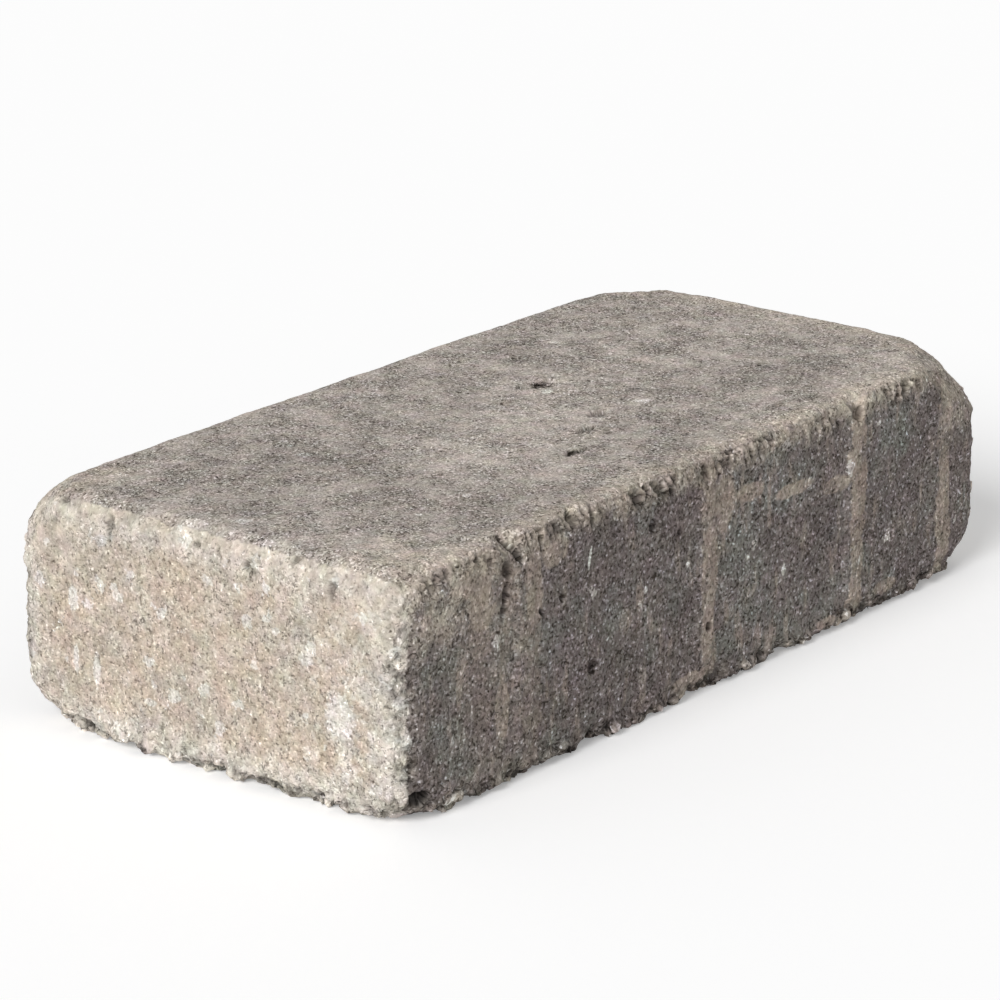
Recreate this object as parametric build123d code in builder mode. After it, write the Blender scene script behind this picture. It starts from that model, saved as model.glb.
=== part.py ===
import os

from build123d import *

# Driving dimensions, in millimetres
length = 177.8
width = 88.9  # over the spacer ribs
height = 44.45

# Spacer ribs, cast on both long sides and rubbed down since
rib_height = 0.6
rib_width = 5.0
rib_draft = 35  # degrees
rib_foot_gap = 5.0  # from the bed to the rib's round end
rib_head_gap = 4.0  # from the top to the rib's round end

# Tumbling: how deep each sharp arris is worn away, square to the worn strip
wear_front_top = 0.9
wear_back_top = 4.4
wear_left_top = 1.6
wear_right_top = 3.9
wear_front_bed = 1.0
wear_back_bed = 2.0
wear_left_bed = 1.2
wear_right_bed = 2.0
wear_left_front = 2.2
wear_left_back = 2.4
wear_right_front = 3.0
wear_right_back = 3.0

# Tumbling: how deep each corner is struck off, square to the broken face
strike_left_front_top = 3.4
strike_left_front_bed = 4.4
strike_left_back_top = 6.6
strike_left_back_bed = 6.4
strike_right_front_top = 9.6
strike_right_front_bed = 6.5
strike_right_back_top = 9.8
strike_right_back_bed = 7.0
strike_slant = (0.44, 0.56, 0.71)  # corners break flatter along the block than across it

# Tumbling: lesser knocks round off each worn strip and struck corner
knock_spread = 0.45  # how far a lesser knock leans towards its face
arris_knock = 0.3  # depth it takes off the rim of a worn strip
corner_knock = 1.0  # depth it takes off the rim of a struck corner
rub_radius = 2.0  # left on every edge by rubbing against other blocks

void_sink = 0.35  # share of a void's radius that its centre lies under the face

# The left end is at -X, the front side at -Y and the bed at the bottom.
front = (0, -1, 0)
back = (0, 1, 0)
top = (0, 0, 1)

front_top = (0, -1, 1)
back_top = (0, 1, 1)
left_top = (-1, 0, 1)
right_top = (1, 0, 1)
front_bed = (0, -1, -1)
back_bed = (0, 1, -1)
left_bed = (-1, 0, -1)
right_bed = (1, 0, -1)
left_front = (-1, -1, 0)
left_back = (-1, 1, 0)
right_front = (1, -1, 0)
right_back = (1, 1, 0)

arris_wear = {
    front_top: wear_front_top,
    back_top: wear_back_top,
    left_top: wear_left_top,
    right_top: wear_right_top,
    front_bed: wear_front_bed,
    back_bed: wear_back_bed,
    left_bed: wear_left_bed,
    right_bed: wear_right_bed,
    left_front: wear_left_front,
    left_back: wear_left_back,
    right_front: wear_right_front,
    right_back: wear_right_back,
}

corner_strikes = {
    (-1, -1, 1): strike_left_front_top,
    (-1, -1, -1): strike_left_front_bed,
    (-1, 1, 1): strike_left_back_top,
    (-1, 1, -1): strike_left_back_bed,
    (1, -1, 1): strike_right_front_top,
    (1, -1, -1): strike_right_front_bed,
    (1, 1, 1): strike_right_back_top,
    (1, 1, -1): strike_right_back_bed,
}

# Ribs of the front side, as shares of the length from the left end.
rib_places = (0.18, 0.475, 0.739, 0.903)

# Chips: the arris, the place along it as a share from its left, front or bed
# end, the radius of the shell-shaped scar and how deep it bites below the wear.
chips = [
    (front_top, 0.160, 6.0, 1.5),
    (front_top, 0.250, 4.0, 0.9),
    (front_top, 0.372, 3.6, 0.9),
    (front_top, 0.515, 5.0, 0.8),
    (front_top, 0.742, 5.0, 1.3),
    (back_top, 0.220, 9.0, 0.7),
    (back_top, 0.690, 8.0, 0.7),
    (left_top, 0.240, 5.0, 0.8),
    (left_top, 0.590, 6.0, 0.9),
    (right_top, 0.420, 7.0, 0.8),
    (front_bed, 0.290, 5.0, 1.4),
    (front_bed, 0.460, 4.0, 1.0),
    (front_bed, 0.610, 6.0, 1.6),
    (front_bed, 0.800, 4.5, 1.1),
    (back_bed, 0.300, 6.0, 1.3),
    (back_bed, 0.700, 6.0, 1.0),
    (left_bed, 0.470, 4.5, 1.2),
    (left_bed, 0.700, 4.0, 1.0),
    (right_bed, 0.400, 5.0, 1.2),
    (left_front, 0.450, 4.5, 0.9),
    (right_back, 0.500, 6.0, 0.8),
]

# Voids: the face, two shares across it (from the left end, then from the front
# side or the bed) and the radius of the hole that trapped air left.
voids = [
    (top, 0.575, 0.570, 1.7),
    (top, 0.410, 0.227, 1.2),
    (front, 0.387, 0.805, 1.4),
    (front, 0.290, 0.330, 1.5),
    (back, 0.640, 0.350, 1.4),
]

block_width = width - 2 * rib_height


def sharp_point(toward):
    """Point of the block before wear: middle of a face or arris, or a corner."""
    x, y, z = toward
    return Vector(x * length / 2, y * block_width / 2, (1 + z) * height / 2)


def knock_planes(toward, depth, rim_depth, slant=(1, 1, 1)):
    """Planes that wear off an arris or corner: the main one, then one beside each face."""
    outward = Vector(*(side * tilt for side, tilt in zip(toward, slant))).normalized()
    knocks = [(outward, depth)]
    for side, axis in zip(toward, (Axis.X, Axis.Y, Axis.Z)):
        if side:
            leaning = outward + axis.direction * side * knock_spread
            knocks.append((leaning.normalized(), depth / leaning.length + rim_depth))
    for normal, knock_depth in knocks:
        yield Plane(origin=sharp_point(toward) - normal * (knock_depth + rub_radius), z_dir=normal)


def place_on(toward, share, other_share=0.5):
    """Point on a face or arris, by its shares along the directions it spans."""
    shares = iter((share, other_share))
    x, y, z = (side if side else 2 * next(shares) - 1 for side in toward)
    return sharp_point((x, y, z))


with BuildPart() as paver:
    # The moulded block, drawn smaller all round by the rubbing radius
    with BuildSketch(Plane.XY.offset(rub_radius)):
        Rectangle(length - 2 * rub_radius, block_width - 2 * rub_radius)
    extrude(amount=height - 2 * rub_radius)

    # Tumbling wears the arrises and strikes off the corners
    for arris, depth in arris_wear.items():
        for knock in knock_planes(arris, depth, arris_knock):
            split(bisect_by=knock, keep=Keep.BOTTOM)
    for corner, depth in corner_strikes.items():
        for knock in knock_planes(corner, depth, corner_knock, strike_slant):
            split(bisect_by=knock, keep=Keep.BOTTOM)

    # Grown back by the rubbing radius, which rounds every edge and corner
    offset(amount=rub_radius, kind=Kind.ARC)

    # Spacer ribs: the back side's are the front side's, turned half round
    rib_length = height - rib_foot_gap - rib_head_gap
    rib_middle = rib_foot_gap + rib_length / 2
    for side in (front, back):
        for share in rib_places:
            rib_x = side[1] * (0.5 - share) * length
            rib_seat = Plane(
                origin=(rib_x, side[1] * block_width / 2, rib_middle),
                x_dir=(0, 0, 1),
                z_dir=side,
            )
            with BuildSketch(rib_seat):
                SlotOverall(rib_length, rib_width)
            extrude(amount=rib_height, taper=rib_draft)

    # Chips knocked out of the arrises
    for arris, share, radius, bite in chips:
        outward = Vector(*arris).normalized()
        centre = place_on(arris, share) + outward * (radius - bite - arris_wear[arris])
        with Locations(centre):
            Sphere(radius, mode=Mode.SUBTRACT)

    # Voids left by trapped air
    for face, share, other_share, radius in voids:
        centre = place_on(face, share, other_share) - Vector(*face) * radius * void_sink
        with Locations(centre):
            Sphere(radius, mode=Mode.SUBTRACT)

paver.part.label = "paver"

os.makedirs("parts", exist_ok=True)
export_step(paver.part, "parts/paver.step")
print("paver", paver.part.bounding_box().size, "volume", round(paver.part.volume), "mm3")
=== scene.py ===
import math

import bpy
from mathutils import Matrix, Vector


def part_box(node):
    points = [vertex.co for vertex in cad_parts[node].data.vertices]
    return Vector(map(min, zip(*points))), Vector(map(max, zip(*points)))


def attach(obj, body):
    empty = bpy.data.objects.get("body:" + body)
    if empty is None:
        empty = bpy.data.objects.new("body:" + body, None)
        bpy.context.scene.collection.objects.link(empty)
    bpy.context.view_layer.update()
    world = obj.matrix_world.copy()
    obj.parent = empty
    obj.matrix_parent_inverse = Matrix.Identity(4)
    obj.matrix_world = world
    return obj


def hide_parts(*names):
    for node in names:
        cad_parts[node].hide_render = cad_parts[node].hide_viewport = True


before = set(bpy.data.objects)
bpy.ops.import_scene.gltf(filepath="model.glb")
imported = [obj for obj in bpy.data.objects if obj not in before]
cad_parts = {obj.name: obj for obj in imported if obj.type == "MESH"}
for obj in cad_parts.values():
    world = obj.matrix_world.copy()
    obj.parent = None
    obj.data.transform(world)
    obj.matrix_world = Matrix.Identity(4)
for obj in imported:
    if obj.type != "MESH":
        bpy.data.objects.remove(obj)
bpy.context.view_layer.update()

# Camera
# It looks along the block from in front of its left end and a little above,
# with a long lens, so the far end is only slightly smaller than the near one.
AZIMUTH = math.radians(-52.06)
ELEVATION = math.radians(18.02)
ROLL = math.radians(0.14)
DISTANCE = 0.7979
SHIFT_RIGHT = -0.00445
SHIFT_UP = 0.0041
FOCAL_PIXELS = 4340.2
PICTURE_PIXELS = 1000
SENSOR = 36.0
VIEW_DEPTH = 50.0

low_corner, high_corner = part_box("paver")
back = Vector((
    math.sin(AZIMUTH) * math.cos(ELEVATION),
    -math.cos(AZIMUTH) * math.cos(ELEVATION),
    math.sin(ELEVATION),
))
level_right = Vector((math.cos(AZIMUTH), math.sin(AZIMUTH), 0.0))
level_up = back.cross(level_right)
right = level_right * math.cos(ROLL) + level_up * math.sin(ROLL)
up = level_up * math.cos(ROLL) - level_right * math.sin(ROLL)
middle = (low_corner + high_corner) / 2
eye = middle + back * DISTANCE + right * SHIFT_RIGHT + up * SHIFT_UP

camera = bpy.data.objects.new("camera", bpy.data.cameras.new("camera"))
bpy.context.scene.collection.objects.link(camera)
camera.matrix_world = Matrix.Translation(eye) @ Matrix((right, up, back)).transposed().to_4x4()
camera.data.sensor_width = SENSOR
camera.data.lens = FOCAL_PIXELS / PICTURE_PIXELS * SENSOR
camera.data.clip_end = VIEW_DEPTH
bpy.context.scene.camera = camera
bpy.context.scene.view_settings.view_transform = "Standard"


# Studio light
# One large soft lamp stands off the left end, as in the picture: that end is
# bright, the top is half lit and the long front side lies in soft shade.
KEY_FROM = Vector((-0.83, -0.10, 0.55))
KEY_SOFTNESS = math.radians(32)
KEY_LEVEL = 0.78  # what a white card facing the lamp would render as
FILL_LEVEL = 0.36  # what the room alone would give it

key_lamp = bpy.data.lights.new("key_lamp", "SUN")
key_lamp.energy = KEY_LEVEL * math.pi
key_lamp.angle = KEY_SOFTNESS
key_stand = bpy.data.objects.new("key_lamp", key_lamp)
key_stand.rotation_euler = KEY_FROM.to_track_quat("Z", "Y").to_euler()
bpy.context.scene.collection.objects.link(key_stand)

room = bpy.data.worlds.new("room")
room.use_nodes = True
room_light = room.node_tree.nodes["Background"]
room_light.inputs["Color"].default_value = (1.0, 1.0, 1.0, 1.0)
room_light.inputs["Strength"].default_value = FILL_LEVEL
bpy.context.scene.world = room


# Studio floor
# A pale matt floor that takes the block's shadow and otherwise looks white.
FLOOR_SIZE = 12.0
FLOOR_LIFT = 0.25  # light of its own that only the picture sees


class Wiring:
    """Places nodes in one tree and links them; each call gives the new node's output."""

    def __init__(self, tree):
        self.tree = tree

    def feed(self, socket, value):
        if isinstance(value, bpy.types.NodeSocket):
            self.tree.links.new(value, socket)
        else:
            socket.default_value = value

    def place(self, kind, sockets, output=0, **settings):
        node = self.tree.nodes.new(kind)
        for name, value in settings.items():
            setattr(node, name, value)
        for key, value in sockets.items():
            if isinstance(key, str):
                shown = [socket.name if socket.enabled else None for socket in node.inputs]
                key = shown.index(key)
            self.feed(node.inputs[key], value)
        return node.outputs[output]

    def calc(self, operation, *values):
        return self.place("ShaderNodeMath", dict(enumerate(values)), operation=operation)

    def times(self, first, *others):
        for other in others:
            first = self.calc("MULTIPLY", first, other)
        return first

    def plus(self, first, *others):
        for other in others:
            first = self.calc("ADD", first, other)
        return first

    def minus(self, first, second):
        return self.calc("SUBTRACT", first, second)

    def without(self, mask):
        return self.minus(1.0, mask)

    def least(self, first, *others):
        for other in others:
            first = self.calc("MINIMUM", first, other)
        return first

    def most(self, first, *others):
        for other in others:
            first = self.calc("MAXIMUM", first, other)
        return first

    def vector(self, operation, *values, output=0):
        sockets = dict(enumerate(values))
        return self.place("ShaderNodeVectorMath", sockets, output=output, operation=operation)

    def scaled(self, vector, factor):
        return self.place("ShaderNodeVectorMath", {0: vector, "Scale": factor}, operation="SCALE")

    def split(self, vector):
        node = self.tree.nodes.new("ShaderNodeSeparateXYZ")
        self.feed(node.inputs[0], vector)
        return node.outputs

    def fade(self, value, start, end, low=0.0, high=1.0):
        """Smooth change from low at start to high at end."""
        sockets = {0: value, 1: start, 2: end, 3: low, 4: high}
        return self.place("ShaderNodeMapRange", sockets, interpolation_type="SMOOTHSTEP")

    def noise(self, vector, size, detail=2.0, roughness=0.5, output="Fac"):
        sockets = {"Vector": vector, "Scale": 1.0 / size, "Detail": detail, "Roughness": roughness}
        return self.place("ShaderNodeTexNoise", sockets, output=output)

    def uneven(self, vector, size, amount, detail=3.0, roughness=0.6):
        """Noise either side of nothing, about half as much again as amount at its most."""
        level = self.noise(vector, size, detail, roughness)
        return self.times(self.minus(level, 0.5), amount * 4)

    def swirl(self, vector, size, detail, roughness):
        """Noise of its own in each direction, either side of nothing."""
        level = self.noise(vector, size, detail, roughness, "Color")
        return self.vector("SUBTRACT", level, (0.5, 0.5, 0.5))

    def cells(self, vector, size, output="Distance"):
        sockets = {"Vector": vector, "Scale": 1.0 / size}
        return self.place("ShaderNodeTexVoronoi", sockets, output=output)

    def blot(self, vector, centre, radii, ragged):
        """1 inside a ragged spot, 0 outside it."""
        reach = self.vector("DIVIDE", self.vector("SUBTRACT", vector, centre), radii)
        distance = self.vector("LENGTH", reach, output="Value")
        return self.fade(self.plus(distance, ragged), 1.05, 0.75)

    def colour(self, factor, first, second):
        """The first colour where factor is 0, the second where it is 1."""
        sockets = {0: factor, 6: first, 7: second}
        return self.place("ShaderNodeMix", sockets, output=2, data_type="RGBA")


def seen(red, green, blue):
    """Colour given as it looks on a screen, 0 to 255, as the shader takes it."""
    def plain(level):
        share = level / 255
        return share / 12.92 if share <= 0.04045 else ((share + 0.055) / 1.055) ** 2.4
    return (plain(red), plain(green), plain(blue), 1.0)


bpy.ops.mesh.primitive_plane_add(size=FLOOR_SIZE, location=(0.0, 0.0, 0.0))
floor = bpy.context.object
floor.name = "floor"
floor_paint = bpy.data.materials.new("floor_paint")
floor_paint.use_nodes = True
floor_shader = floor_paint.node_tree.nodes["Principled BSDF"]
floor_shader.inputs["Base Color"].default_value = seen(246, 246, 246)
floor_shader.inputs["Roughness"].default_value = 1.0
floor_shader.inputs["Specular IOR Level"].default_value = 0.0
floor_shader.inputs["Emission Color"].default_value = (1.0, 1.0, 1.0, 1.0)
floor_wires = Wiring(floor_paint.node_tree)
picture_rays = floor_wires.plus(
    floor_wires.place("ShaderNodeLightPath", {}, output="Is Camera Ray"),
    floor_wires.place("ShaderNodeLightPath", {}, output="Is Glossy Ray"),
    floor_wires.place("ShaderNodeLightPath", {}, output="Is Transmission Ray"),
)
floor_glow = floor_wires.times(picture_rays, FLOOR_LIFT)
floor_wires.feed(floor_shader.inputs["Emission Strength"], floor_glow)
floor.data.materials.append(floor_paint)


# Paver body
# One block of pressed concrete, cast face up in a steel mould and tumbled once it
# had set. Its shape is the frame's block, roughened: swells, lumps and bare stones
# along the worn arrises, torn teeth under the long top ones, holes, pits and grit.
METRE = 1000.0  # millimetres
RIB_HEIGHT = 0.6
half_length = high_corner.x * METRE
side_plane = high_corner.y * METRE - RIB_HEIGHT
block_height = high_corner.z * METRE

MERGE_GAP = 0.00001  # metres
SKIN_CELL = 0.00040  # metres
CORNER_RUBS = 70
TRIANGLES = 196000
STONE_SPACING = 2.3
PIT_SPACING = 6.0
TOOTH_WIDTH = 1.45
TOOTH_DEPTH = 1.4
POCK_DEPTH = 0.9
MARK_REACH = 3.0  # how far a mark goes in square to its face, as a blot's half size

# Marks seen on this block, in mm. On the front side: the distance from its left end,
# the height, the half length, the half height and, where it slants, how far along per
# height. On the left end: the distance from its front side, the height, the half width
# and the half height. On the top: the distances from its left end and front side, the
# half length and the half width. A hole in the front side or the end ends with its depth.
FRONT_HOLES = [
    (29.2, 42.4, 0.9, 3.6, -0.62, 1.7),
    (27.4, 38.8, 1.3, 1.5, 0.0, 1.2),
    (27.0, 34.8, 0.9, 1.8, 0.2, 1.1),
    (26.4, 31.8, 0.8, 1.4, 0.0, 1.0),
    (36.9, 28.8, 0.6, 1.0, -0.5, 1.2),
    (42.4, 30.0, 0.6, 0.8, 0.0, 1.2),
    (45.8, 42.6, 1.1, 1.4, 0.0, 1.3),
    (85.2, 12.7, 0.9, 1.0, 0.0, 1.3),
    (132.4, 41.2, 2.0, 2.0, -0.3, 1.3),
    (4.9, 4.7, 2.6, 1.6, 0.0, 2.3),
]
END_HOLES = [
    (75.5, 43.2, 0.8, 0.7, 0.6),
    (64.4, 40.9, 0.9, 2.2, 0.7),
    (44.2, 41.2, 0.7, 0.8, 0.7),
    (39.7, 40.8, 0.7, 1.0, 0.5),
    (37.3, 39.8, 0.6, 0.7, 0.6),
    (33.8, 39.7, 0.8, 0.7, 0.6),
    (23.1, 42.7, 1.1, 0.6, 0.6),
    (15.2, 39.2, 0.9, 1.8, 0.7),
]
TOP_POCKS = [
    (102.5, 50.4, 3.2, 1.6),
    (107.5, 52.0, 1.6, 1.0),
    (99.0, 52.0, 1.5, 0.9),
    (72.6, 20.0, 3.0, 1.3),
    (85.0, 27.0, 2.4, 1.0),
    (94.0, 31.0, 3.2, 1.5),
]


def arris_distances(wires, spot):
    """Distances in mm to the end, side and top planes, then from the nearest arris and
    corner, each taken to the further plane of those that meet there."""
    x, y, z = wires.split(spot)
    to_end = wires.minus(half_length, wires.calc("ABSOLUTE", x))
    to_side = wires.minus(side_plane, wires.calc("ABSOLUTE", y))
    to_top = wires.minus(block_height, z)
    to_flat = wires.least(to_top, z)
    nearest = wires.least(to_end, to_side, to_flat)
    corner = wires.most(to_end, to_side, to_flat)
    total = wires.plus(to_end, to_side, to_flat)
    arris = wires.minus(wires.minus(total, nearest), corner)
    return to_end, to_side, to_top, arris, corner


def crumbled(wires, spot, to_end, to_top, arris):
    """Where the cement broke away round its stones: the bed and upright arrises, and
    clusters under the ends' top arrises."""
    patchy = wires.fade(wires.noise(spot, 9.0, 2.0), 0.38, 0.58, 0.45, 1.0)
    broken = wires.times(wires.fade(arris, 5.0, 1.5), wires.fade(to_top, 1.5, 7.0), patchy)
    under_top = wires.times(wires.fade(to_top, 8.0, 5.0), wires.fade(to_top, 1.2, 2.4))
    under_top = wires.times(under_top, wires.fade(to_end, 5.0, 3.0))
    moved_spot = wires.vector("ADD", spot, (0.0, 15.0, 0.0))
    clusters = wires.fade(wires.noise(moved_spot, 6.0, 3.0), 0.50, 0.66, 0.0, 0.6)
    return wires.most(broken, wires.times(under_top, clusters))


def stones(wires, spot, size):
    """Distance from the middle of the nearest stone, in spacings, and three random
    numbers of its own."""
    bend = wires.swirl(spot, size * 0.7, 2.0, 0.6)
    bent = wires.vector("ADD", spot, wires.scaled(bend, size * 0.8))
    return wires.cells(bent, size), wires.split(wires.cells(bent, size, "Color"))


def front_mark(wires, spot, ragged, along, height, half_along, half_height, slant=0.0):
    """A ragged blot on the front side."""
    centre = (along - half_length, -side_plane, height)
    radii = (half_along, MARK_REACH, half_height)
    rise = wires.minus(wires.split(spot)[2], height)
    sideways = wires.place("ShaderNodeCombineXYZ", {0: wires.times(rise, -slant)})
    return wires.blot(wires.vector("ADD", spot, sideways), centre, radii, ragged)


def end_mark(wires, spot, ragged, across, height, half_across, half_height):
    """A ragged blot on the left end."""
    centre = (-half_length, across - side_plane, height)
    return wires.blot(spot, centre, (MARK_REACH, half_across, half_height), ragged)


def top_mark(wires, spot, ragged, along, across, half_along, half_across):
    """A ragged blot on the top."""
    centre = (along - half_length, across - side_plane, block_height)
    return wires.blot(spot, centre, (half_along, half_across, MARK_REACH), ragged)


def move_surface(wires, geometry, offset_mm):
    offset = wires.scaled(offset_mm, 1.0 / METRE)
    return wires.place("GeometryNodeSetPosition", {"Geometry": geometry, "Offset": offset})


def keep_value(wires, geometry, name, value, kind="FLOAT"):
    sockets = {"Geometry": geometry, "Name": name, "Value": value}
    return wires.place("GeometryNodeStoreNamedAttribute", sockets, data_type=kind, domain="POINT")


roughen = bpy.data.node_groups.new("tumbled_surface", "GeometryNodeTree")
roughen.interface.new_socket("Geometry", in_out="INPUT", socket_type="NodeSocketGeometry")
roughen.interface.new_socket("Geometry", in_out="OUTPUT", socket_type="NodeSocketGeometry")
wires = Wiring(roughen)
surface = wires.place("NodeGroupInput", {})
position = wires.place("GeometryNodeInputPosition", {})
surface = keep_value(wires, surface, "cast_spot", wires.scaled(position, METRE), "FLOAT_VECTOR")
sockets = {"Name": "cast_spot"}
spot = wires.place("GeometryNodeInputNamedAttribute", sockets, data_type="FLOAT_VECTOR")
to_end, to_side, to_top, arris, corner = arris_distances(wires, spot)
x, y, z = wires.split(spot)

# Rubbing has rounded the struck corners
softness = wires.fade(corner, 24.0, 15.0)
sockets = {"Value": position, "Iterations": CORNER_RUBS, "Weight": softness}
rounded = wires.place("GeometryNodeBlurAttribute", sockets, data_type="FLOAT_VECTOR")
surface = wires.place("GeometryNodeSetPosition", {"Geometry": surface, "Position": rounded})

# Broken edges wander: everything near an arris is pushed about sideways
wander = wires.swirl(spot, 5.0, 4.0, 0.65)
near_arris = wires.fade(arris, 8.0, 0.5, 0.10, 1.0)
near_bed = wires.fade(z, 9.0, 2.0)
wander_size = wires.times(near_arris, wires.plus(wires.times(near_bed, 3.2), 1.6))
surface = move_surface(wires, surface, wires.scaled(wander, wander_size))

# Heights in mm, measured along the surface's own normal
crumbling = crumbled(wires, spot, to_end, to_top, arris)
swell = wires.uneven(spot, 30.0, 0.22)
dents = wires.uneven(spot, 7.0, 0.10, 4.0)
knocked = wires.times(wires.fade(arris, 5.0, 0.3), wires.fade(to_top, 1.0, 6.0, 0.5, 1.0))
knocked = wires.most(knocked, wires.fade(corner, 22.0, 14.0, 0.0, 0.9))
lumps = wires.times(wires.uneven(spot, 4.0, 0.32, 3.0, 0.62), knocked)
stone_distance, stone_kind = stones(wires, spot, STONE_SPACING)
stone_dome = wires.fade(stone_distance, 0.75, 0.10, -0.75, 0.55)
stone_stand = wires.fade(stone_kind[2], 0.15, 0.95, -0.6, 0.55)
pebbles = wires.times(wires.plus(stone_dome, stone_stand), crumbling, 0.68)
grit = wires.times(wires.uneven(spot, 1.2, 0.15), wires.fade(arris, 6.0, 1.0, 0.35, 1.0))
pit_pick = wires.split(wires.cells(spot, PIT_SPACING, "Color"))[0]
pit_width = wires.fade(pit_pick, 0.55, 1.0, 0.0, 0.18)
from_pit = wires.minus(wires.cells(spot, PIT_SPACING), pit_width)
pits = wires.fade(from_pit, -0.10, 0.0, -0.8, 0.0)

# Torn teeth run down from under the long sides' top arrises, where the mould dragged
leaning_x = wires.plus(x, wires.times(z, 0.35))
leaning = wires.place("ShaderNodeCombineXYZ", {0: leaning_x, 1: y, 2: wires.times(z, 0.36)})
tooth_noise = wires.noise(leaning, TOOTH_WIDTH, 3.0, 0.65)
tooth_patch = wires.fade(wires.noise(spot, 8.0, 3.0), 0.42, 0.58)
tooth_reach = wires.fade(wires.plus(to_top, wires.uneven(spot, 4.0, 1.4)), 6.5, 2.5)
tooth_place = wires.times(tooth_reach, wires.fade(to_top, 0.5, 1.6), wires.fade(to_side, 3.0, 1.0))
tooth_place = wires.times(tooth_place, tooth_patch)
teeth = wires.times(wires.fade(tooth_noise, 0.46, 0.60), tooth_place, -TOOTH_DEPTH)

# Holes that were seen: most ragged where the cement crumbled, on the end and the top
ragged = wires.uneven(spot, 1.6, 0.30)
end_ragged = wires.times(ragged, 2.6)
top_ragged = wires.times(ragged, 1.6)
holes = 0.0
for *mark, depth in FRONT_HOLES:
    holes = wires.plus(holes, wires.times(front_mark(wires, spot, ragged, *mark), -depth))
for *mark, depth in END_HOLES:
    holes = wires.plus(holes, wires.times(end_mark(wires, spot, end_ragged, *mark), -depth))
for pock in TOP_POCKS:
    holes = wires.plus(holes, wires.times(top_mark(wires, spot, top_ragged, *pock), -POCK_DEPTH))

hollow = wires.plus(dents, lumps, pebbles, grit, pits, teeth, holes)
relief = wires.plus(swell, hollow)
normal = wires.place("GeometryNodeInputNormal", {})
surface = move_surface(wires, surface, wires.scaled(normal, relief))
surface = keep_value(wires, surface, "relief", hollow)
wires.feed(roughen.nodes.new("NodeGroupOutput").inputs[0], surface)

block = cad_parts["paver"]
paver = bpy.data.objects.new("tumbled_paver", block.data.copy())
bpy.context.scene.collection.objects.link(paver)
bpy.ops.object.select_all(action="DESELECT")
paver.select_set(True)
bpy.context.view_layer.objects.active = paver
bpy.ops.object.mode_set(mode="EDIT")
bpy.ops.mesh.select_all(action="SELECT")
bpy.ops.mesh.remove_doubles(threshold=MERGE_GAP)
bpy.ops.object.mode_set(mode="OBJECT")

skin = paver.modifiers.new("even_skin", "REMESH")
skin.mode = "VOXEL"
skin.voxel_size = SKIN_CELL
bpy.ops.object.modifier_apply(modifier=skin.name)
wear = paver.modifiers.new("wear", "NODES")
wear.node_group = roughen
bpy.ops.object.modifier_apply(modifier=wear.name)
thin = paver.modifiers.new("thin", "DECIMATE")
thin.ratio = TRIANGLES / (2 * len(paver.data.polygons))
bpy.ops.object.modifier_apply(modifier=thin.name)
bpy.ops.object.shade_smooth()

# Its concrete: grey cement with sand and small stones in it, lime dust rubbed into
# the worn arrises and ribs, darker and rougher where the mould wall pulled away
# The pale rims of the left end are partly painted light
TOP_ROUGH = seen(181, 171, 162)
TOP_RUBBED = seen(192, 182, 173)
END_ROUGH = seen(208, 197, 183)
END_TAN = seen(196, 180, 163)
# lime dust, and also painted light on the left end's rims
LIME_AND_RIM_LIGHT = seen(226, 218, 207)
SIDE_ROUGH = seen(130, 121, 117)
SIDE_RUBBED = seen(176, 162, 149)
DUST = seen(200, 188, 173)
GREEN_GREY = seen(128, 129, 122)
MAUVE_GREY = seen(136, 124, 121)
BROKEN = seen(160, 150, 140)
# painted shade inside pores and deep holes
PORE_SHADE = seen(64, 55, 47)
WHITE_STONE = seen(238, 234, 227)
RIBS = {0.191: 0.45, 0.480: 0.8, 0.748: 0.95, 0.914: 0.85}  # share of the length: how rubbed
RIB_WIDTH = 5.0
WALL_GRAIN = 0.45
TOP_GRAIN = 0.32
WHITE_SPACING = 3.4
PORE_SIZE = 0.75
SMEAR_STRENGTH = 0.85
WHITE_STRENGTH = 0.62
DARKEST_SHADE = 0.45
SCREEN_POWER = 2.2  # turns a share of screen brightness into a share of light
TOP_CLOUDS = [  # as a mark on the top, then how much paler it is
    (76.0, 36.0, 20.0, 15.0, 0.07),
    (96.0, 48.0, 12.0, 9.0, 0.05),
    (30.0, 52.0, 22.0, 26.0, -0.05),
    (140.0, 18.0, 12.0, 8.0, -0.06),
]
FRONT_SMEARS = [  # as marks on the front side
    (19.0, 39.2, 7.0, 3.0),
    (21.0, 34.0, 4.0, 5.0),
    (34.4, 33.0, 3.0, 8.5),
    (40.5, 39.0, 4.0, 3.2),
    (26.2, 14.5, 2.2, 6.5),
    (85.5, 22.0, 3.2, 8.5),
    (89.5, 34.5, 4.5, 6.0),
    (98.0, 34.6, 5.0, 1.8),
    (112.0, 31.6, 7.0, 1.5),
    (126.0, 29.0, 5.0, 1.8),
    (133.0, 36.0, 3.0, 5.0),
    (163.5, 9.0, 2.6, 5.0),
    (80.0, 3.5, 5.5, 2.0),
    (123.5, 2.6, 3.0, 1.4),
    (143.5, 4.5, 4.5, 1.6),
]
WHITE_SPECKS = [  # as marks on the front side
    (99.6, 24.2, 1.3, 1.0, 0.0),
    (97.6, 22.4, 0.8, 0.7, 0.0),
    (109.2, 17.0, 0.8, 1.3, 0.0),
    (79.3, 26.0, 0.6, 0.7, 0.0),
    (66.7, 24.6, 0.7, 0.8, 0.0),
    (50.3, 35.0, 0.4, 2.6, 0.15),
    (133.8, 12.3, 1.0, 1.0, 0.0),
]
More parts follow.
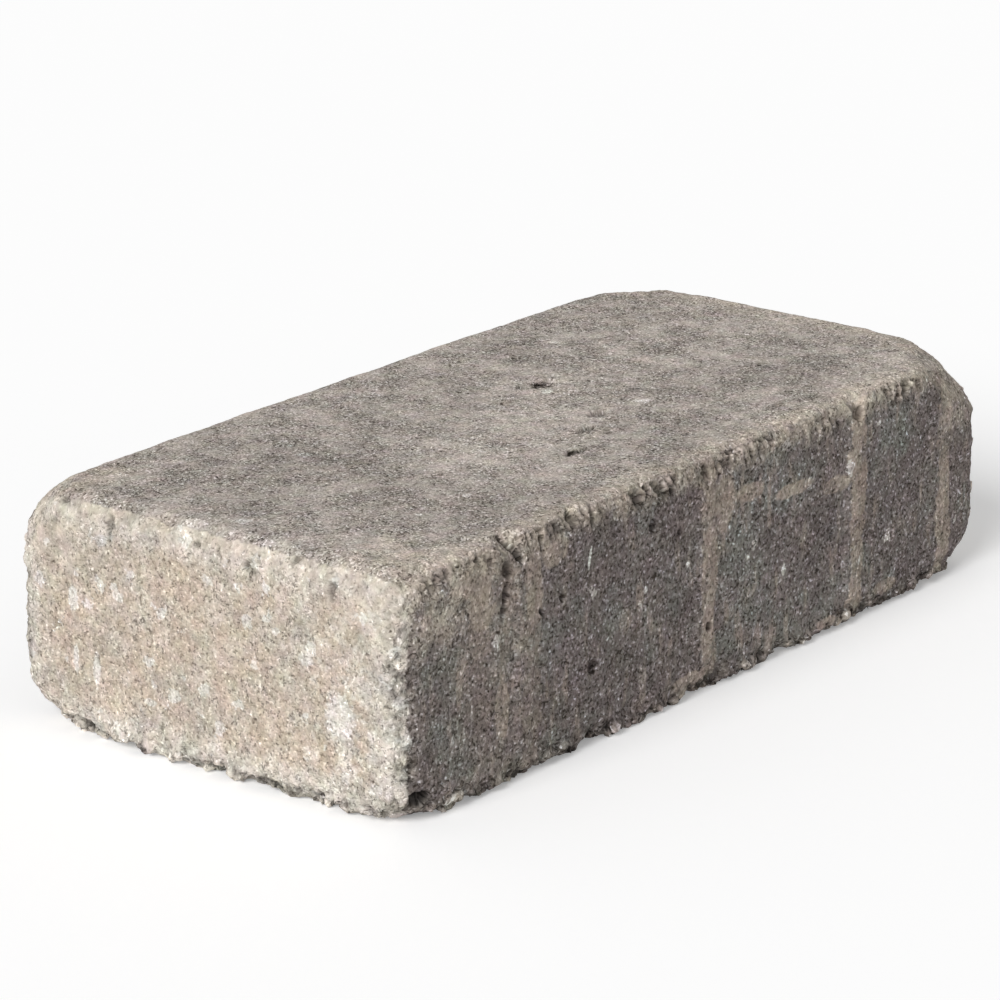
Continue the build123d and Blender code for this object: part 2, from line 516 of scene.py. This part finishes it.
END_STONES = [  # as marks on the left end
    (68.2, 13.6, 0.9, 3.6),
    (73.0, 14.4, 0.7, 3.2),
    (73.4, 25.4, 1.3, 2.6),
    (62.8, 28.0, 1.4, 1.0),
    (55.9, 10.4, 1.6, 0.8),
    (66.5, 37.4, 1.5, 1.3),
    (20.8, 26.2, 1.8, 1.4),
    (13.6, 17.6, 3.4, 4.2),
    (27.4, 29.7, 0.9, 0.8),
    (0.8, 15.4, 1.2, 2.6),
    (1.6, 22.0, 1.4, 1.6),
]

concrete = bpy.data.materials.new("tumbled_concrete")
concrete.use_nodes = True
shader = concrete.node_tree.nodes["Principled BSDF"]
wires = Wiring(concrete.node_tree)
spot = wires.place("ShaderNodeAttribute", {}, output="Vector", attribute_name="cast_spot")
relief = wires.place("ShaderNodeAttribute", {}, output="Fac", attribute_name="relief")
to_end, to_side, to_top, arris, corner = arris_distances(wires, spot)
x, y, z = wires.split(spot)
from_left = wires.plus(x, half_length)
from_front = wires.plus(y, side_plane)

# Which face a point belongs to, with ragged borders
border = wires.uneven(spot, 2.2, 0.9, 3.0, 0.65)
end_border = wires.fade(wires.plus(wires.minus(to_side, to_end), border), -2.0, -0.8)
top_border = wires.minus(wires.least(to_end, to_side), to_top)
on_top = wires.fade(wires.plus(top_border, wires.times(border, 0.6)), -0.3, 0.5)
on_wall = wires.without(on_top)
on_side = wires.times(on_wall, wires.without(end_border))
on_end = wires.times(on_wall, end_border)


def by_face(side, top, end):
    """A number of its own for each kind of face."""
    return wires.plus(wires.times(on_side, side), wires.times(on_top, top), wires.times(on_end, end))


# Where tumbling rubbed it smooth and pale: ribs, patches, part of the near side
drift = wires.noise(spot, 18.0, 4.0, 0.62)
second_drift = wires.noise(wires.vector("ADD", spot, (90.0, 40.0, 10.0)), 8.0, 4.0, 0.65)
third_drift = wires.noise(wires.vector("ADD", spot, (30.0, 70.0, 50.0)), 4.5, 4.0, 0.68)
rubbed_top = wires.times(on_top, wires.fade(second_drift, 0.38, 0.66))
along = wires.times(x, wires.calc("SIGN", y), -1.0)
rib_bend = wires.times(wires.minus(second_drift, 0.5), 5.0)
ribs = 0.0
for place, rubbing in RIBS.items():
    from_rib = wires.calc("ABSOLUTE", wires.plus(along, half_length * (1 - 2 * place), rib_bend))
    rib = wires.fade(wires.plus(from_rib, border), RIB_WIDTH * 0.62, RIB_WIDTH * 0.40, 0.0, rubbing)
    ribs = wires.most(ribs, rib)
ribs = wires.times(ribs, wires.fade(third_drift, 0.34, 0.52, 0.35, 1.0))
near_left = wires.fade(wires.plus(from_left, wires.times(border, 4.0)), 34.0, 26.0)
near_left = wires.times(near_left, wires.fade(from_left, 10.0, 20.0, 0.2, 1.0))
near_left = wires.times(near_left, wires.fade(z, 12.0, 34.0, 0.4, 1.0))
near_tan = wires.times(near_left, wires.fade(third_drift, 0.38, 0.60, 0.2, 0.7))
drag = wires.noise(wires.vector("MULTIPLY", spot, (1.0, 1.0, 0.25)), 2.4, 2.0)
smears = wires.fade(drag, 0.54, 0.70, 0.0, 0.5)
smear_edge = wires.times(border, 0.22)
for mark in FRONT_SMEARS:
    smear = wires.times(front_mark(wires, spot, smear_edge, *mark), SMEAR_STRENGTH)
    smears = wires.most(smears, smear)
smears = wires.times(smears, wires.fade(third_drift, 0.32, 0.50, 0.4, 1.0))
rubbed_side = wires.times(on_side, wires.most(ribs, near_tan, smears))

# Where lime dust lies: a fringe under the top arrises, struck corners, the crest of
# the long sides and the far end of the top
fringe = wires.times(
    wires.fade(wires.plus(to_top, wires.times(border, 1.3)), 6.0, 2.0),
    wires.fade(third_drift, 0.34, 0.54, 0.25, 1.0),
)
struck = wires.fade(wires.plus(corner, wires.times(border, 2.0)), 19.0, 13.0)
struck = wires.times(struck, wires.fade(z, 24.0, 38.0), wires.fade(third_drift, 0.36, 0.56, 0.2, 0.9))
crest = wires.fade(wires.plus(to_side, wires.times(border, 1.6)), 7.0, 2.0)
from_right = wires.minus(2 * half_length, from_left)
far_crest = wires.fade(wires.minus(from_right, wires.times(border, 3.0)), 17.0, 6.0, 0.0, 0.7)
top_dust = wires.times(wires.most(crest, far_crest), on_top)
top_dust = wires.times(top_dust, wires.fade(third_drift, 0.34, 0.52, 0.3, 1.0))
crumbling = crumbled(wires, spot, to_end, to_top, arris)
dusty = wires.most(wires.times(fringe, on_wall), struck, top_dust)
dusty = wires.times(dusty, wires.without(crumbling))
rough = wires.without(wires.most(rubbed_top, rubbed_side, wires.times(dusty, 0.8)))

# Colour of each face
side_colour = wires.colour(wires.fade(drift, 0.48, 0.60, 0.0, 0.6), SIDE_ROUGH, GREEN_GREY)
side_colour = wires.colour(wires.fade(second_drift, 0.50, 0.64, 0.0, 0.5), side_colour, MAUVE_GREY)
side_colour = wires.colour(rubbed_side, side_colour, SIDE_RUBBED)
# Along the left end's arrises it is paler and less tan: lime dust, and painted light that lifts the
# bed and back arrises out of their shade
rim_dust_and_light = wires.fade(wires.plus(arris, wires.times(border, 2.0)), 9.0, 2.0)
tan_place = wires.times(wires.fade(drift, 0.40, 0.56, 0.25, 0.9), wires.without(rim_dust_and_light))
end_colour = wires.colour(tan_place, END_ROUGH, END_TAN)
lime_place = wires.fade(wires.plus(from_front, wires.times(border, 6.0)), 30.0, 10.0, 0.25, 0.9)
lime_dust_and_rim_light = wires.times(wires.fade(third_drift, 0.44, 0.60), lime_place)
lime_dust_and_rim_light = wires.most(lime_dust_and_rim_light, wires.times(rim_dust_and_light, wires.fade(third_drift, 0.30, 0.50, 0.5, 1.0)))
end_colour = wires.colour(lime_dust_and_rim_light, end_colour, LIME_AND_RIM_LIGHT)
top_colour = wires.colour(wires.fade(third_drift, 0.48, 0.66, 0.0, 0.15), TOP_ROUGH, GREEN_GREY)
top_colour = wires.colour(rubbed_top, top_colour, TOP_RUBBED)
body = wires.colour(on_end, side_colour, end_colour)
broken = wires.times(crumbling, wires.without(wires.times(on_end, 0.6)), 0.6)
body = wires.colour(broken, body, BROKEN)
body = wires.colour(on_top, body, top_colour)
body = wires.colour(wires.times(dusty, 0.8), body, DUST)

# Stones laid bare: each its own tone, with painted shade in the gaps between
stone_distance, stone_kind = stones(wires, spot, STONE_SPACING)
stone_tone = wires.fade(stone_kind[0], 0.1, 0.9, -0.16, 0.15)
# painted shade in the crevices between the stones
stone_gap_shade = wires.fade(stone_distance, 0.42, 0.66, 0.0, -0.20)
bare_stones_and_gap_shade = wires.times(wires.plus(stone_tone, stone_gap_shade), crumbling)
bare_stones_and_gap_shade = wires.times(bare_stones_and_gap_shade, wires.without(wires.times(on_end, 0.4)))

# Each grain of sand has its own tone: most are near the cement's, a few far from it
grain_size = wires.times(by_face(0.70, 0.60, 0.31), wires.plus(wires.times(rough, 0.5), 0.5))
wall_grain = wires.split(wires.cells(spot, WALL_GRAIN, "Color"))[0]
wall_grain = wires.plus(wall_grain, wires.uneven(spot, 0.7, 0.30, 1.0))
top_grain = wires.split(wires.cells(spot, TOP_GRAIN, "Color"))[0]
top_grain = wires.plus(wires.times(wires.minus(top_grain, 0.5), 1.25), 0.5)
grain = wires.plus(wires.times(wall_grain, on_wall), wires.times(top_grain, on_top), -0.5)
grain = wires.times(grain, wires.plus(wires.times(grain, grain, 2.4), 0.4), grain_size)

# Broad patches, blotches and painted shade in hollows, all as shares of screen brightness
clouds = 0.0
cloud_edge = wires.times(border, 0.25)
for *mark, paler in TOP_CLOUDS:
    clouds = wires.plus(clouds, wires.times(top_mark(wires, spot, cloud_edge, *mark), paler))
blotches = wires.uneven(spot, 2.6, 0.075, 3.0, 0.68)
mottle_and_hollow_shade = wires.plus(
    wires.times(clouds, on_top),
    wires.times(wires.minus(drift, 0.5), 0.34),
    wires.times(wires.minus(second_drift, 0.5), 0.18),
    wires.times(blotches, wires.plus(wires.times(on_end, 0.4), 1.0)),
    # painted shade: darker the deeper the hollow, raised spots a little paler
    wires.fade(relief, -1.0, 0.5, -0.32, 0.09),
)
shade = wires.plus(1.0, grain, mottle_and_hollow_shade, bare_stones_and_gap_shade)
shade = wires.calc("POWER", wires.most(shade, DARKEST_SHADE), SCREEN_POWER)
hues = wires.vector("MULTIPLY", wires.swirl(spot, 3.5, 3.0, 0.6), (0.15, 0.21, 0.15))
tinted = wires.vector("ADD", hues, (1.0, 1.0, 1.0))
tinted = wires.vector("ADD", tinted, wires.vector("MULTIPLY", grain, (-0.12, 0.0, 0.15)))

# White stones, then the grain over all, then painted shade in pores and deep hollows, more pores in
# patches
chalky = wires.uneven(spot, 0.9, 0.22, 2.0, 0.65)
white_distance, white_kind = stones(wires, spot, WHITE_SPACING)
white_reach = wires.fade(white_kind[1], 0.0, 1.0, 0.14, 0.42)
white_share = wires.plus(by_face(0.03, 0.03, 0.20), wires.times(crumbling, 0.22))
white_here = wires.fade(wires.plus(white_kind[0], white_share), 1.0, 1.02)
white = wires.minus(wires.plus(white_distance, chalky), white_reach)
white = wires.times(wires.fade(white, 0.04, -0.08), white_here)
speck_edge = wires.times(chalky, 1.4)
for speck in WHITE_SPECKS:
    white = wires.most(white, front_mark(wires, spot, speck_edge, *speck))
stone_edge = wires.times(chalky, 1.2)
for stone in END_STONES:
    white = wires.most(white, end_mark(wires, spot, stone_edge, *stone))
body = wires.colour(wires.times(white, WHITE_STRENGTH), body, WHITE_STONE)
body = wires.vector("MULTIPLY", body, wires.scaled(tinted, shade))
pore_noise = wires.noise(spot, PORE_SIZE, 2.0, 0.7)
pore_patch = wires.plus(wires.times(rough, 0.05), wires.fade(third_drift, 0.48, 0.64, 0.0, 0.04))
pore_shade = wires.fade(wires.minus(pore_noise, pore_patch), 0.35, 0.27)
pore_shade = wires.times(pore_shade, by_face(0.75, 0.8, 0.45), wires.without(wires.times(white, 0.7)))
# painted shade in the deepest hollows
deep_hollow_shade = wires.fade(relief, -1.5, -2.4, 0.0, 0.75)
body = wires.colour(wires.most(pore_shade, deep_hollow_shade), body, PORE_SHADE)
wires.feed(shader.inputs["Base Color"], body)
shader.inputs["Roughness"].default_value = 0.92
shader.inputs["Specular IOR Level"].default_value = 0.25

# Fine relief in mm, flatter where it is rubbed
height = wires.plus(
    wires.uneven(spot, 0.8, 0.16, 3.0, 0.7),
    wires.times(wires.cells(spot, WALL_GRAIN), -0.16),
    wires.fade(pore_noise, 0.30, 0.40, -0.2, 0.0),
)
strength = wires.plus(wires.times(rough, 0.6), 0.4)
sockets = {"Strength": strength, "Distance": 1.0 / METRE, "Height": height}
wires.feed(shader.inputs["Normal"], wires.place("ShaderNodeBump", sockets))

paver.data.materials.clear()
paver.data.materials.append(concrete)
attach(paver, "root")
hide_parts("paver")
